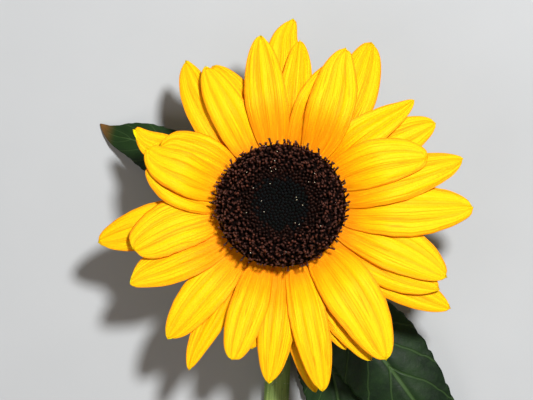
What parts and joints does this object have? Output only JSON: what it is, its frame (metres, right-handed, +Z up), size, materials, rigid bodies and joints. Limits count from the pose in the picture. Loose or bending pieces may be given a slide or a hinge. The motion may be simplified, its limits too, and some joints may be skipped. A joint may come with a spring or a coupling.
{
  "type": "cut sunflower",
  "caption": "Cut sunflower head with yellow ray florets, a dark disc and green bracts, on a bent green stem with broad leaves, lying face up",
  "frame": {"origin": "middle of the base of the flower's bounding box, on the surface that it lies on", "axes": "+Y runs along the stem from its cut end to the flower head, +Z is up, out of the flower's face, and +X is to the right when the flower is looked down on with its stem towards the viewer"},
  "size_m": [0.1628, 0.3774, 0.0632],
  "materials": {
    "ray": "satin",
    "disc": "matte",
    "bract": "matte",
    "leaf": "satin",
    "stem": "matte"
  },
  "bodies": {
    "root": {"stem_with_receptacle": "stem", "disc_florets": "disc", "leaf_upper_left": "leaf", "leaf_lower_right": "leaf", "leaf_lower": "leaf", "ray_floret_01": "ray", "ray_floret_02": "ray", "ray_floret_03": "ray", "ray_floret_04": "ray", "ray_floret_05": "ray", "ray_floret_06": "ray", "ray_floret_07": "ray", "ray_floret_08": "ray", "ray_floret_09": "ray", "ray_floret_10": "ray", "ray_floret_11": "ray", "ray_floret_12": "ray", "ray_floret_13": "ray", "ray_floret_14": "ray", "ray_floret_15": "ray", "ray_floret_16": "ray", "ray_floret_17": "ray", "ray_floret_18": "ray", "ray_floret_19": "ray", "ray_floret_20": "ray", "ray_floret_21": "ray", "ray_floret_22": "ray", "ray_floret_23": "ray", "ray_floret_24": "ray", "ray_floret_25": "ray", "ray_floret_26": "ray", "ray_floret_27": "ray", "ray_floret_28": "ray", "ray_floret_29": "ray", "ray_floret_30": "ray", "ray_floret_31": "ray", "ray_floret_32": "ray", "ray_floret_33": "ray", "ray_floret_34": "ray", "ray_floret_35": "ray", "bract_inner_1": "bract", "bract_inner_2": "bract", "bract_inner_3": "bract", "bract_inner_4": "bract", "bract_inner_5": "bract", "bract_inner_6": "bract", "bract_inner_7": "bract", "bract_inner_8": "bract", "bract_inner_9": "bract", "bract_outer_1": "bract", "bract_outer_2": "bract", "bract_outer_3": "bract", "bract_outer_4": "bract", "bract_outer_5": "bract", "bract_outer_6": "bract", "bract_outer_7": "bract", "bract_outer_8": "bract", "bract_outer_9": "bract"}
  },
  "joints": []
}
